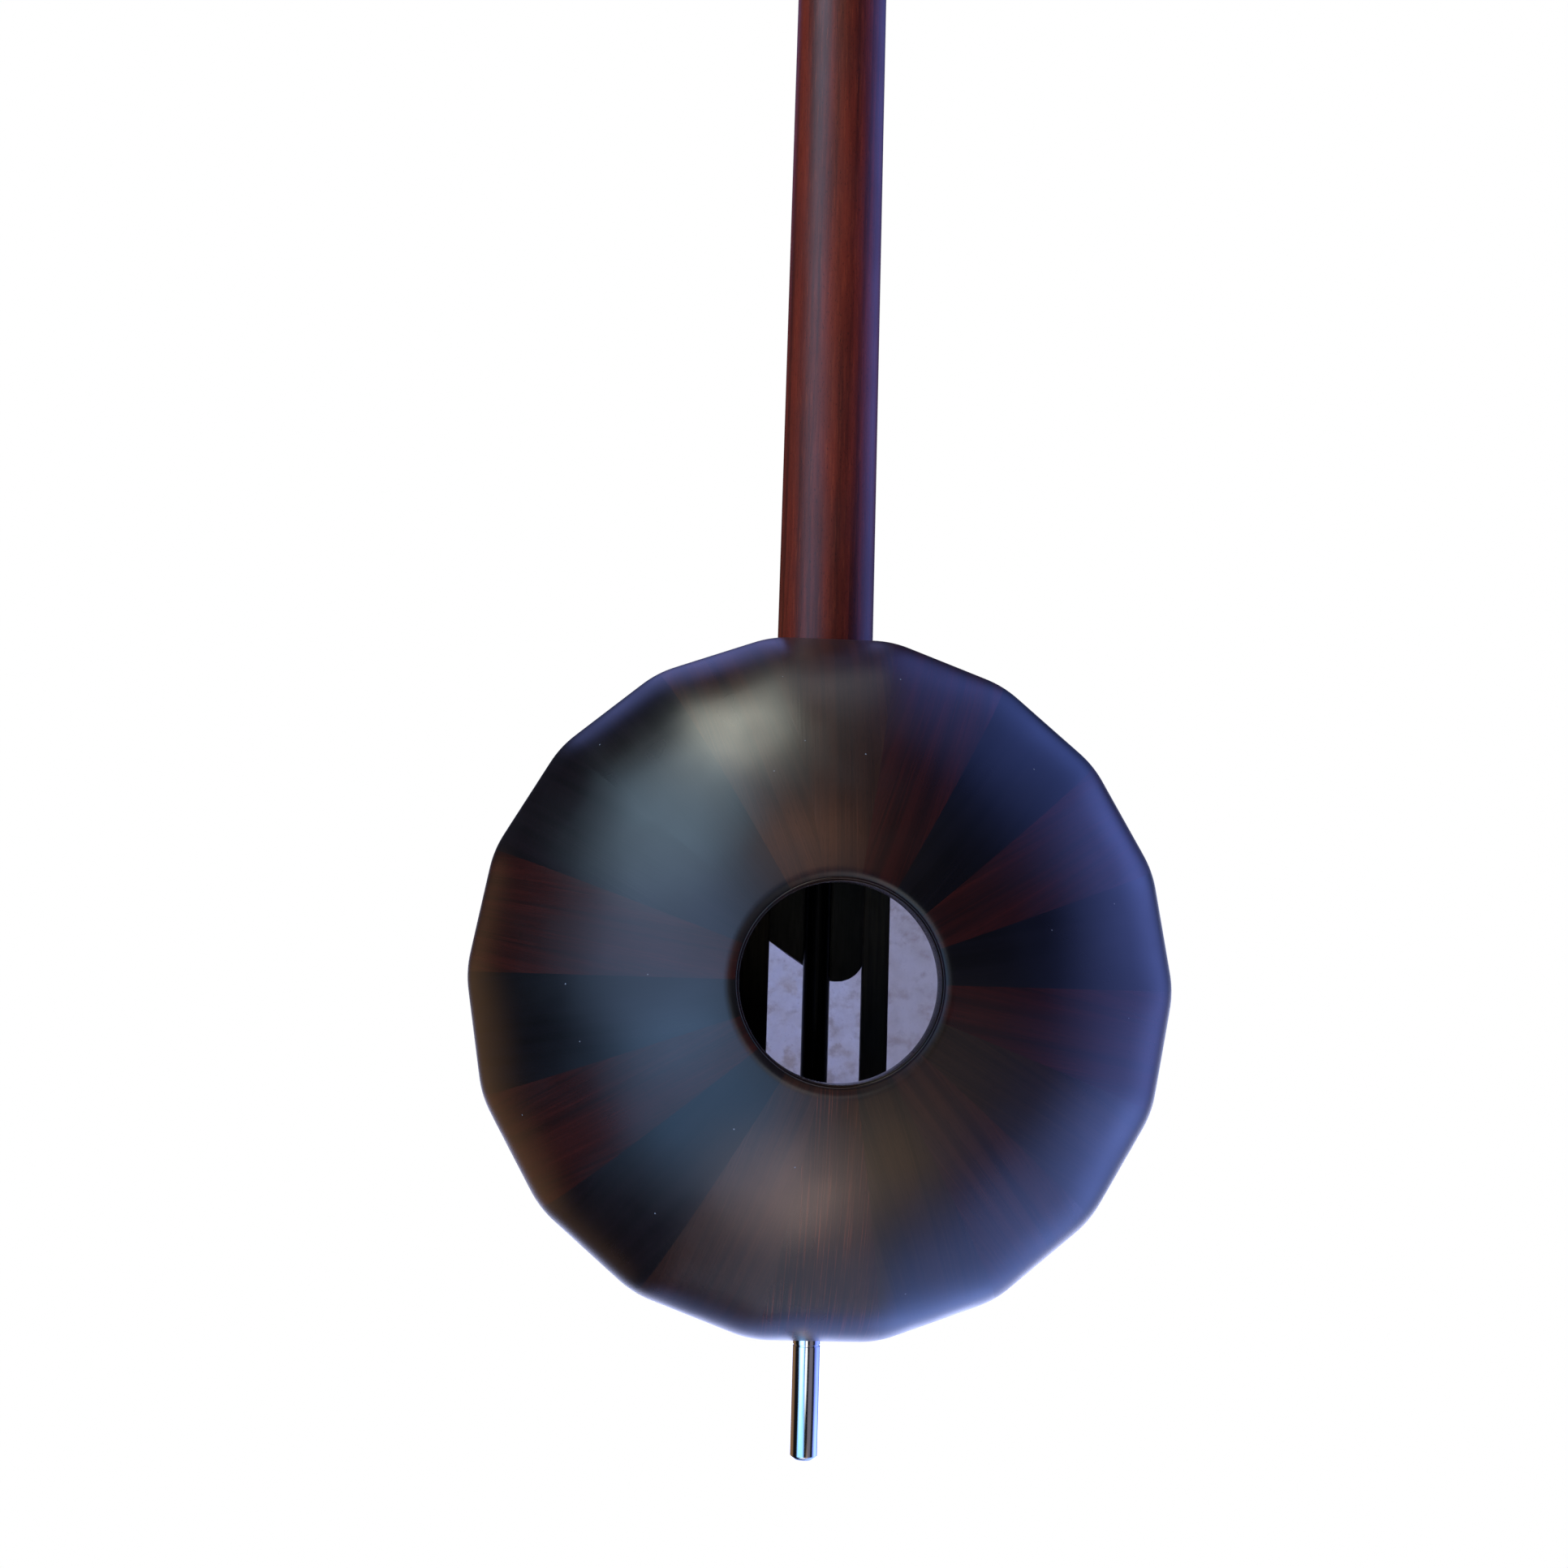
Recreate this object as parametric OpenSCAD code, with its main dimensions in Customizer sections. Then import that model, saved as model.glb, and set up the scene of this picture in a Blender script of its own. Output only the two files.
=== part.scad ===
// Open-backed spike fiddle: a stave-built bowl on a through-rod, a turned neck, a pegbox and a spike.
// +Z runs up the neck's axis, the skin faces -Y and the open back faces +Y.
// The origin is on the spike's axis, at the shoulder where the spike leaves the instrument.

/* [Bowl] */
// Width of the bowl across two opposite corners
bowl_w = 200; // [170:1:240]
// Number of staves round the bowl
stave_count = 18; // [18:18]
// Thickness of the staves
stave_t = 4; // [3:0.5:5]
// Depth from the widest plane back to where the crown would close
back_depth = 74; // [68:1:95]
// Depth from the widest plane forward to the skin's seat
front_depth = 32; // [26:1:38]
// Radius of the arc that rounds the widest part
shoulder_r = 58; // [50:1:62]
// Distance of the widest plane behind the neck's axis
belly_offset = 16; // [14:1:20]
// Height of the bowl's lowest point above the spike's shoulder
bowl_lift = 2; // [1.6:0.1:4]

/* [Sound hole] */
// Diameter of the opening in the back
hole_d = 49.6; // [36:0.1:60]
// Depth of the ring that lines the opening
ring_depth = 9; // [8:0.5:14]
// Thickness of the ring's visible edge
ring_wall = 0.9; // [0.6:0.1:2]
// How far the ring's bead stands above the staves
ring_bead = 0.5; // [0.2:0.1:1]
// Width of the ring's glued flange
ring_flange = 8; // [5:0.5:12]

/* [Skin] */
// Thickness of the skin
skin_t = 0.8; // [0.5:0.1:1.5]
// Thickness of the binding that covers the skin's edge
binding_t = 1.2; // [0.8:0.1:2]
// Width of the binding along the bowl's side
binding_w = 7; // [5:0.5:7.5]
// Width of the hoop glued inside the bowl's front edge
hoop_w = 7; // [5:0.5:10]
// Depth of that hoop
hoop_depth = 5; // [3:0.5:5.5]

/* [Rod and spike] */
// Diameter of the through-rod and of the spike
rod_d = 8; // [6:0.5:10]
// Length of the spike below its shoulder
spike_l = 35; // [25:1:120]
// Bevel at the spike's tip
spike_bevel = 0.8; // [0.3:0.1:1.5]
// Diameter of the thread that joins the spike to the rod
thread_d = 5; // [3:0.5:5.5]
// Length of that thread
thread_l = 12; // [8:1:16]
// Length of rod held inside the neck above the top block
rod_grip = 60; // [30:1:90]
// Diameter of the collar between the bowl and the tailpiece
collar_d = 16; // [13:0.5:18]

/* [Inner frame] */
// Width of each block across the bowl
block_w = 46; // [42:1:56]
// How far each block reaches behind the neck's axis
block_back = 12; // [10:1:16]
// Height of the top block below the bowl's inner apex
top_block_h = 24; // [16:1:32]
// Height of the bottom block above the bowl's inner base
bottom_block_h = 18; // [14:1:30]
// Width of each flat brace
brace_w = 8; // [6:0.5:10]
// Thickness of each brace
brace_t = 3.5; // [2.5:0.5:5]
// Clear width between the two braces
brace_gap = 28; // [26:0.5:32]
// Height of the heel's lowest point above the middle of the bowl
heel_end = 0; // [-10:1:30]
// Thickness of the heel in front of the rod
heel_depth = 8; // [5:0.5:8.5]
// Radius of the heel's rounded corner
heel_round = 8; // [4:0.5:10]
// Slant of the heel's end, in degrees
heel_slant = 34; // [0:1:45]

/* [Neck] */
// Length of the neck from the bowl to the nut
neck_l = 240; // [200:1:300]
// Diameter of the neck at the bowl
neck_d = 29; // [26:0.1:30]
// Diameter of the neck at the nut
neck_top_d = 27.7; // [24:0.1:28]
// Diameter of the tenon that passes through the bowl
tenon_d = 20; // [16:0.5:22]

/* [Pegbox] */
// Diameter of the pegbox
pegbox_d = 38; // [36:1:44]
// Length of the pegbox
pegbox_l = 126; // [120:1:150]
// Width of the string channel
channel_w = 18; // [17:0.5:20]
// Thickness of wood behind the channel
channel_back = 10; // [7:0.5:12]
// Height of the crown above the pegbox
crown_l = 52; // [35:1:80]

/* [Pegs and strings] */
// Diameter of the peg shafts
peg_d = 9; // [7:0.5:10]
// Distance between neighbouring pegs along the pegbox
peg_pitch = 24; // [22:0.5:26]
// Height of the first peg above the nut
peg_first = 28; // [24:1:32]
// Diameter of each peg's knob
knob_d = 22; // [16:1:26]
// Diameter of the string wound on each peg
winding_d = 12; // [11:0.5:13]
// Diameter of the strings
string_d = 0.6; // [0.3:0.1:1]
// Distance between neighbouring strings at the nut
nut_pitch = 5; // [4:0.1:5.4]
// Distance between neighbouring strings at the bridge
bridge_pitch = 8.5; // [7:0.5:9.5]
// Height of the nut above the neck's surface
nut_rise = 2.7; // [1.5:0.1:4]

/* [Bridge and tailpiece] */
// Height of the bridge above the skin
bridge_h = 17; // [14:0.5:22]
// Width of the bridge across its feet
bridge_w = 36; // [32:1:44]
// Thickness of the bridge
bridge_t = 4; // [3:0.5:6]
// Distance of the bridge below the middle of the bowl
bridge_drop = 38; // [30:1:44]
// Thickness of the tailpiece plate
plate_t = 1.2; // [1:0.1:1.6]
// Width of the tailpiece's upright
tail_w = 32; // [30:1:40]
// Height of the tailpiece above the spike's shoulder
tail_h = 44; // [36:1:50]

/* [Hidden] */
string_count = 4;
// Glue line left between two pieces with curved faces
glue = 0.15;
// Radial clearance of a shaft in its hole
running = 0.05;
half_step = 180 / stave_count;
// Distance from the bowl's axis to the middle of a facet at the widest plane
apothem = bowl_w / 2 * cos(half_step);
bowl_z = bowl_lift + apothem;
// Radius of the arc over the crown, tangent to the shoulder's arc
shoulder_x = apothem - shoulder_r;
crown_r = (shoulder_x * shoulder_x + back_depth * back_depth - shoulder_r * shoulder_r)
    / (2 * (back_depth - shoulder_r));
joint_angle = atan2(crown_r - back_depth, shoulder_x);
skin_y = belly_offset - front_depth;
skin_front = skin_y - skin_t;
// The blocks start just behind the hoop
block_front = skin_y + hoop_depth + glue;
rod_r = rod_d / 2;
hole_r = hole_d / 2;
ring_r = hole_r + ring_wall;
lip_y = back_depth - crown_r + sqrt(crown_r * crown_r - ring_r * ring_r) + ring_bead;
top_block_z = bowl_z + apothem - stave_t - top_block_h;
bottom_block_z = bowl_z - apothem + stave_t + bottom_block_h;
brace_y = -rod_r - 0.5;
// How much smaller the heel's radius is than the neck's
heel_inset = 0.4;
neck_z = bowl_z + apothem;
nut_z = neck_z + neck_l;
nut_w = 22;
nut_h = 4;
nut_arch_r = neck_top_d / 2 + nut_rise;
bridge_z = bowl_z - bridge_drop;
bridge_arch_r = 2 * bridge_h;
pegbox_r = pegbox_d / 2;
peg_r = peg_d / 2;
peg_y = -2;
tail_y = skin_front - 2.8 - plate_t;
hook_r = 1.3;
hook_z = tail_h - 6;
winding_w = 4.6;
winding_pitch = 3.3;
tail_pitch = 7;
hook_l = 3;
string_r = string_d / 2;
// Clear space left between a string and what turns or holds it
string_clear = 0.3;
// Height at which a string passes over the nut and the bridge
string_lift = string_r + 0.05;
// More than any distance across the bowl
far = 2 * bowl_w;

function two_digits(n) = str(n < 10 ? "0" : "", n);
function stave_name(i) = str("stave_", two_digits(i + 1));
function numbered(name, n) = [for (i = [1:n]) str(name, "_", i)];
function reversed(list) = [for (i = [len(list) - 1:-1:0]) list[i]];
function arc(centre, r, from, to, steps) =
    [for (k = [0:steps]) let (a = from + (to - from) * k / steps) centre + r * [cos(a), sin(a)]];

brown = "#5a3226";
red = "#6e281c";
dark = "#33222a";
stave_tones = [brown, red, dark, red, dark, red, brown, brown, brown,
    red, brown, dark, red, dark, red, dark, dark, brown];

// ---- The bowl's section: distance from its axis, then distance behind its widest plane ----

// The section's curve from front edge to crown, on a surface inset by this much
function section_curve(inset) =
    let (r = shoulder_r - inset)
    concat(
        arc([shoulder_x, 0], r, -asin(front_depth / r), joint_angle, 10),
        arc([0, back_depth - crown_r], crown_r - inset, joint_angle + 5, 90, 8));

// A stretch of the curve near the front edge, from one depth to another
function rim_curve(inset, from, to) =
    let (r = shoulder_r - inset)
    arc([shoulder_x, 0], r, asin(from / r), asin(to / r), 3);

// A flat section drawn across the bowl's axis, as a solid that faces +Z from that axis
module facet(points) {
    rotate([0, -90, 0]) linear_extrude(height = bowl_w, center = true) polygon(points);
}

// Everything inside the surface of the facet with this number
module facet_core(i, inset) {
    curve = section_curve(inset);
    in_bowl() turned(i) facet(concat(curve, [[-1, curve[len(curve) - 1][1]], [-1, curve[0][1]]]));
}

// The wedge of space that one stave fills, grown by a small angle where pieces fuse
module wedge(extra = 0) {
    side = bowl_w * tan(half_step + extra);
    rotate([90, 0, 0]) linear_extrude(height = far, center = true)
        polygon([[0, 0], [side, bowl_w], [-side, bowl_w]]);
}

// Turns a piece from the top of the bowl to stave i, clockwise as seen from the back
module turned(i) {
    rotate([0, -2 * half_step * i, 0]) children();
}

// Moves a piece drawn round the bowl's axis, at its widest plane, into place
module in_bowl() {
    translate([0, belly_offset, bowl_z]) children();
}

// A ring round the bowl's axis: its section is given as radius, then depth
module bowl_ring(points) {
    in_bowl() rotate([-90, 0, 0]) rotate_extrude($fn = 96) polygon(points);
}

// An upright hole or shaft on the neck's axis
module on_axis(r, from, to) {
    translate([0, 0, from]) cylinder(r = r, h = to - from, $fn = 64);
}

// ---- Bowl ----

// One stave, with the rod's or the tenon's hole where it has one
module stave(i) {
    color(stave_tones[i % len(stave_tones)]) difference() {
        in_bowl() turned(i) intersection() {
            facet(concat(section_curve(0), reversed(section_curve(stave_t))));
            wedge();
        }
        in_bowl() rotate([90, 0, 0]) cylinder(r = ring_r + running, h = far, center = true, $fn = 96);
        if (i == 0) on_axis(tenon_d / 2 + running, bowl_z, neck_z + stave_t);
        if (i == stave_count / 2) on_axis(rod_r + running, -stave_t, bowl_z);
    }
}

// The turned ring that lines the opening, with a flange glued under the staves
module back_ring() {
    flange_r = hole_r + ring_flange;
    curve_r = crown_r - stave_t - glue;
    under = [for (r = [flange_r, (flange_r + ring_r) / 2, ring_r])
        [r, back_depth - crown_r + sqrt(curve_r * curve_r - r * r) - glue]];
    bevel = ring_wall / 3;
    bead = [[ring_r, lip_y - bevel], [ring_r - bevel, lip_y], [hole_r + bevel, lip_y], [hole_r, lip_y - bevel]];
    foot_y = lip_y - ring_depth;
    color("#4b2418") bowl_ring(concat([[hole_r, foot_y], [flange_r, foot_y]], under, bead));
}

// The hoop glued inside the front edge, which widens the skin's seat
module front_hoop() {
    edge = rim_curve(stave_t + 2 * glue, -front_depth, hoop_depth - front_depth);
    inner_r = edge[0][0] - hoop_w;
    color("#8a6a48") bowl_ring(concat(edge, [[inner_r, hoop_depth - front_depth], [inner_r, -front_depth]]));
}

// The stretched skin, glued over the front edge
module skin() {
    corner_r = rim_curve(0, -front_depth - skin_t, 0)[0][0] / cos(half_step);
    color("#d9c9ac") translate([0, skin_y, bowl_z]) rotate([90, 0, 0]) linear_extrude(height = skin_t)
        polygon([for (i = [0:stave_count - 1]) corner_r * [cos(2 * half_step * (i + 0.5) + 90),
            sin(2 * half_step * (i + 0.5) + 90)]]);
}

// The band that covers the skin's edge and the staves' front ends, cut away round the neck
module skin_binding() {
    front = -front_depth - skin_t;
    back = binding_w - front_depth;
    color("#2a1d18") difference() {
        in_bowl() for (i = [0:stave_count - 1]) turned(i) intersection() {
            facet(concat(rim_curve(-binding_t, front, back), reversed(rim_curve(-glue, front, back))));
            wedge(0.02);
        }
        on_axis(neck_d / 2 + glue, bowl_z, nut_z);
    }
}

// ---- Inner frame ----

// A block shaped to the inside of three staves
module inner_block(middle, from, to) {
    intersection() {
        translate([-block_w / 2, block_front, from]) cube([block_w, block_back - block_front, to - from]);
        for_core(middle - 1) for_core(middle) facet_core(middle + 1, stave_t + glue);
    }
}

// Keeps what lies inside the staves' inner surface at facet i
module for_core(i) {
    intersection() {
        facet_core(i, stave_t + glue);
        children();
    }
}

module top_block() {
    color("#a07a50") difference() {
        inner_block(0, top_block_z, neck_z);
        on_axis(tenon_d / 2 + running, top_block_z - 1, neck_z);
    }
}

module bottom_block() {
    color("#a07a50") difference() {
        inner_block(stave_count / 2, 0, bottom_block_z);
        on_axis(rod_r + running, -1, bottom_block_z + 1);
    }
}

// A flat strip between the two blocks, beside the rod
module brace(side) {
    left = side > 0 ? brace_gap / 2 : -brace_gap / 2 - brace_w;
    color("#4a3c34") translate([left, brace_y - brace_t, bottom_block_z])
        cube([brace_w, brace_t, top_block_z - bottom_block_z]);
}

// The dark half-round heel under the top block, in front of the rod, with a slanted and rounded end
module neck_heel() {
    r = neck_d / 2 - heel_inset;
    end = bowl_z + heel_end;
    corner = arc([heel_round - r, heel_round], heel_round, heel_slant - 90, -180, 8);
    side_z = corner[0][1] + (r - corner[0][0]) * tan(heel_slant);
    back = -rod_r - running;
    color("#17120f") intersection() {
        on_axis(r, end - 1, top_block_z);
        translate([-neck_d, back - heel_depth, 0]) cube([2 * neck_d, heel_depth, far]);
        translate([0, 0, end]) rotate([90, 0, 0]) linear_extrude(height = neck_d, center = true)
            polygon(concat([[-r, bowl_w], [r, bowl_w], [r, side_z]], corner));
    }
}

// ---- Rod, spike and tailpiece ----

module through_rod() {
    color("#8d8f94") difference() {
        on_axis(rod_r, plate_t, top_block_z + rod_grip);
        on_axis(thread_d / 2 + running, plate_t - 1, plate_t + thread_l);
    }
}

module spike() {
    color("#c8cdd4") {
        on_axis(rod_r, spike_bevel - spike_l, 0);
        translate([0, 0, -spike_l]) cylinder(r1 = rod_r - spike_bevel, r2 = rod_r, h = spike_bevel, $fn = 64);
        on_axis(thread_d / 2, 0, thread_l);
    }
}

// The turned collar that fills the space between the round bowl and the flat tailpiece
module spike_collar() {
    color("#2b1a14") difference() {
        on_axis(collar_d / 2, plate_t, bowl_lift + collar_d / 2);
        facet_core(stave_count / 2, -glue);
        on_axis(rod_r + running, 0, bowl_lift + collar_d);
    }
}

// The bent plate that the spike clamps under the bowl, with a hook for each string
module tailpiece() {
    foot_w = collar_d;
    shoulder_z = 16;
    outline = [[-foot_w / 2, 0], [foot_w / 2, 0], [tail_w / 2, shoulder_z], [tail_w / 2, tail_h],
        [-tail_w / 2, tail_h], [-tail_w / 2, shoulder_z]];
    color("#b9bdc4") {
        difference() {
            translate([-foot_w / 2, tail_y, 0]) cube([foot_w, collar_d / 2 - 2 - tail_y, plate_t]);
            on_axis(thread_d / 2 + running, -1, plate_t + 1);
        }
        translate([0, tail_y + plate_t, 0]) rotate([90, 0, 0]) linear_extrude(height = plate_t) polygon(outline);
        for (i = [0:string_count - 1]) translate([string_x(i, tail_pitch), tail_y + 0.1, hook_z])
            rotate([90, 0, 0]) cylinder(r = hook_r, h = hook_l + 0.1, $fn = 32);
    }
}

// ---- Bridge ----

module bridge() {
    top_x = bridge_pitch * 1.5 + 2.5;
    foot_w = bridge_w / 4;
    foot_h = 2.4;
    half = bridge_w / 2;
    top = [0, bridge_h - bridge_arch_r];
    top_angle = asin(top_x / bridge_arch_r);
    right_foot = [[half - foot_w, foot_h], [half - foot_w, 0], [half, 0], [half, foot_h]];
    left_foot = [[-half, foot_h], [-half, 0], [foot_w - half, 0], [foot_w - half, foot_h]];
    color("#a77f52") translate([0, skin_front, bridge_z]) mirror([0, 1, 0])
        linear_extrude(height = bridge_t, center = true) difference() {
            polygon(concat(right_foot, arc(top, bridge_arch_r, 90 - top_angle, 90 + top_angle, 8), left_foot));
            for (side = [-1, 1]) translate([side * half / 3, bridge_h / 2]) circle(r = 2, $fn = 32);
        }
}

// ---- Neck and pegbox ----

// The turned neck, shaped to the bowl below, with a tenon that carries the rod
module neck() {
    color("#6e2a18") difference() {
        union() {
            difference() {
                translate([0, 0, bowl_z + shoulder_r])
                    cylinder(r1 = neck_d / 2, r2 = neck_top_d / 2, h = nut_z - bowl_z - shoulder_r, $fn = 96);
                facet_core(0, -glue);
            }
            on_axis(tenon_d / 2, top_block_z, neck_z + 1);
        }
        on_axis(rod_r + running, top_block_z - 1, top_block_z + rod_grip);
    }
}

// The arched bone saddle that lifts the strings off the neck
module nut() {
    color("#e8dfc8") translate([0, 0, nut_z - nut_h]) intersection() {
        translate([-nut_w / 2, -nut_arch_r - 1, 0]) cube([nut_w, nut_arch_r - neck_top_d / 4, nut_h]);
        difference() {
            cylinder(r = nut_arch_r, h = nut_h, $fn = 96);
            translate([0, 0, -1]) cylinder(r = neck_top_d / 2 + glue, h = nut_h + 2, $fn = 96);
        }
    }
}

module pegbox() {
    neck_r = neck_top_d / 2;
    flare = 8;
    straight = 6;
    floor_y = pegbox_r - channel_back;
    channel_z = 1.5;
    channel_top = 14;
    color("#5c2418") translate([0, 0, nut_z]) difference() {
        rotate_extrude($fn = 96) polygon([[0, 0], [neck_r, 0], [neck_r, straight],
            [pegbox_r, straight + flare], [pegbox_r, pegbox_l], [0, pegbox_l]]);
        translate([-channel_w / 2, -pegbox_d, channel_z])
            cube([channel_w, pegbox_d + floor_y, pegbox_l - channel_top - channel_z]);
        for (i = [0:string_count - 1]) translate([0, peg_y, peg_first + i * peg_pitch])
            rotate([0, 90, 0]) cylinder(r = peg_r + running, h = 2 * pegbox_d, center = true, $fn = 64);
    }
}

// The turned crown on top of the pegbox
module crown() {
    base_r = pegbox_r + 1.5;
    bulb_r = crown_l / 4;
    waist_r = base_r * 0.62;
    bulb = [0, crown_l - bulb_r - 4];
    base = [[0, 0], [base_r - 1, 0], [base_r, 1], [base_r, 4], [base_r - 1, 5], [waist_r, 8]];
    tip = [[2.5, crown_l - 3], [2.5, crown_l - 1], [1.5, crown_l], [0, crown_l]];
    color("#5c2418") translate([0, 0, nut_z + pegbox_l]) rotate_extrude($fn = 96)
        polygon(concat(base, arc(bulb, bulb_r, -60, 70, 12), tip));
}

// ---- Pegs ----

// The side that a peg's knob is on
function peg_side(i) = i % 2 == 0 ? 1 : -1;
function peg_z(i) = nut_z + peg_first + i * peg_pitch;

// Turns a shape that is round about Z to lie along the peg, with its knob on the peg's own side
module on_peg(i) {
    translate([0, peg_y, peg_z(i)]) rotate([0, 90 * peg_side(i), 0]) children();
}

module peg(i) {
    wall = pegbox_r + 0.6;
    stem = wall + 9;
    knob_r = knob_d / 2;
    knob = [0, stem + knob_r];
    top = stem + knob_d;
    collar = [[0, wall - 0.5], [peg_r, wall - 0.5], [peg_r + 2, wall + 0.5], [peg_r + 2, wall + 2.5]];
    tip = [[2.2, top], [2.2, top + 2], [0, top + 2.6]];
    color("#241712") on_peg(i) {
        translate([0, 0, 0.5 - pegbox_r]) cylinder(r = peg_r, h = pegbox_r + wall, $fn = 64);
        rotate_extrude($fn = 64)
            polygon(concat(collar, [[peg_r - 0.8, wall + 4]], arc(knob, knob_r, -68, 72, 12), tip));
    }
}

// The turns of string on a peg, as one sleeve
module winding(i) {
    color("#b4b6b8") translate([winding_x(i), peg_y, peg_z(i)]) rotate([0, 90, 0]) difference() {
        cylinder(r = winding_d / 2, h = winding_w, center = true, $fn = 64);
        cylinder(r = peg_r, h = 2 * winding_w, center = true, $fn = 64);
    }
}

// ---- Strings ----

// Strings run from the +X side; the outer two go to the two nearest pegs
function string_x(i, pitch) = pitch * [1.5, -1.5, 0.5, -0.5][i];
function winding_x(i) = string_x(i, winding_pitch);

// The string's centre on an arch of this radius whose top is at this height
function on_arch(x, r) = sqrt(r * r - x * x);

// Places where string i bends, from its peg down to its hook
function string_route(i) =
    let (
        nut_x = string_x(i, nut_pitch),
        nut_y = -on_arch(nut_x, nut_arch_r) - string_lift,
        bridge_x = string_x(i, bridge_pitch),
        bridge_y = skin_front - bridge_h + bridge_arch_r - on_arch(bridge_x, bridge_arch_r) - string_lift
    )
    [
        [winding_x(i), peg_y - winding_d / 2 - string_clear - string_r, peg_z(i)],
        [nut_x, nut_y, nut_z],
        [nut_x, nut_y, nut_z - nut_h],
        [bridge_x, bridge_y, bridge_z + bridge_t / 2],
        [bridge_x, bridge_y, bridge_z - bridge_t / 2],
        [string_x(i, tail_pitch), tail_y - hook_l / 2, hook_z + hook_r + string_clear]
    ];

// A thin tube with its rings level, through a list of places that run down the instrument
module thin_tube(route, r, sides) {
    last = len(route) - 1;
    rings = [for (p = route) for (k = [0:sides - 1]) p + r * [cos(360 * k / sides), sin(360 * k / sides), 0]];
    walls = [for (j = [0:last - 1]) for (k = [0:sides - 1])
        [j * sides + k, (j + 1) * sides + k, (j + 1) * sides + (k + 1) % sides, j * sides + (k + 1) % sides]];
    cap_top = [for (k = [0:sides - 1]) k];
    cap_end = [for (k = [sides - 1:-1:0]) last * sides + k];
    polyhedron(points = rings, faces = concat(walls, [cap_top, cap_end]));
}

module string(i) {
    color("#c9c9c4") thin_tube(string_route(i), string_r, 8);
}

for (i = [0:stave_count - 1]) stave(i);
back_ring();
front_hoop();
skin();
skin_binding();
top_block();
bottom_block();
brace(1);  // brace_left
brace(-1);  // brace_right
neck_heel();
through_rod();
spike();
spike_collar();
tailpiece();
bridge();
neck();
nut();
pegbox();
crown();
for (i = [0:string_count - 1]) peg(i);
for (i = [0:string_count - 1]) winding(i);
for (i = [0:string_count - 1]) string(i);
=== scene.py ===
"""Looks of an open-backed spike fiddle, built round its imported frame.

Everything is in metres, in the frame's own axes: +Z runs up the neck, the skin faces -Y and the open
back faces +Y. Lengths that a maker would read off a rule are written in millimetres, through MM.
"""

from __future__ import annotations

import logging
import math
from dataclasses import dataclass, field
from enum import Enum
from typing import Iterable, Optional, Sequence

import bmesh
import bpy
import numpy as np
from mathutils import Euler, Matrix, Vector


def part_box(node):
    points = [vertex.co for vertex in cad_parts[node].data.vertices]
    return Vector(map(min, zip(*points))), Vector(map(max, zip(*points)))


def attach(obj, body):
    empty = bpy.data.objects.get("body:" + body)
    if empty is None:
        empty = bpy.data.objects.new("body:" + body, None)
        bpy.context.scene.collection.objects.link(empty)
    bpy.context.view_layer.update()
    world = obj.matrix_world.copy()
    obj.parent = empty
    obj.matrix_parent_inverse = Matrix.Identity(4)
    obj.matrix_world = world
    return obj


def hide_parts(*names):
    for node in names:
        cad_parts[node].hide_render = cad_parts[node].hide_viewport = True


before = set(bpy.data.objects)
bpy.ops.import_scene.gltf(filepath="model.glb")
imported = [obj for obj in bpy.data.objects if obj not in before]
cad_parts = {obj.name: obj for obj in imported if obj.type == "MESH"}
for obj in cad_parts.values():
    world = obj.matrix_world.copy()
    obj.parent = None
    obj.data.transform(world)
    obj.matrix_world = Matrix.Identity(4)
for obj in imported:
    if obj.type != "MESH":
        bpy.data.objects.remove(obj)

MM = 0.001
ROOT_BODY = "instrument"
LOG = logging.getLogger("spike_fiddle")

Point = tuple[float, float]
Socket = bpy.types.NodeSocket

# Angles in degrees: faces flatter than the first are joined, edges sharper than the second are eased, and
# edges sharper than the third keep a crease in their shading.
FLAT_DEG, EDGE_DEG, CREASE_DEG = 1, 35, 32
# Points of a CAD mesh nearer than this many millimetres are one point.
WELD_MM = 0.001


# ---------------------------------------------------------------------------
# Nodes and colours
# ---------------------------------------------------------------------------


def linear(hex_colour: str) -> tuple[float, float, float, float]:
    """Turns an sRGB hex colour into the linear one that shaders take.

    Args:
        hex_colour: Six hex digits after a hash sign.

    Returns:
        Linear red, green, blue, and an alpha of 1.
    """
    channels = [int(hex_colour[i : i + 2], 16) / 255 for i in (1, 3, 5)]
    red, green, blue = (c / 12.92 if c <= 0.04045 else ((c + 0.055) / 1.055) ** 2.4 for c in channels)
    return red, green, blue, 1.0


def add_node(
    tree: bpy.types.NodeTree,
    kind: str,
    settings: Optional[dict] = None,
    links: Optional[dict] = None,
) -> bpy.types.Node:
    """Adds a node, with its settings and the links into it.

    Args:
        tree: The tree that gets the node.
        kind: The node's type name.
        settings: Properties by name, and values of inputs by name or number.
        links: Sockets that feed the inputs, by the input's name or number.

    Returns:
        The new node.
    """
    node = tree.nodes.new(kind)
    for key, value in (settings or {}).items():
        if isinstance(key, str) and hasattr(node, key):
            setattr(node, key, value)
        else:
            node.inputs[key].default_value = value
    for key, source in (links or {}).items():
        tree.links.new(source, node.inputs[key])
    return node


MIX_FACTOR, MIX_A, MIX_B, MIX_RESULT = 0, 6, 7, 2


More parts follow.
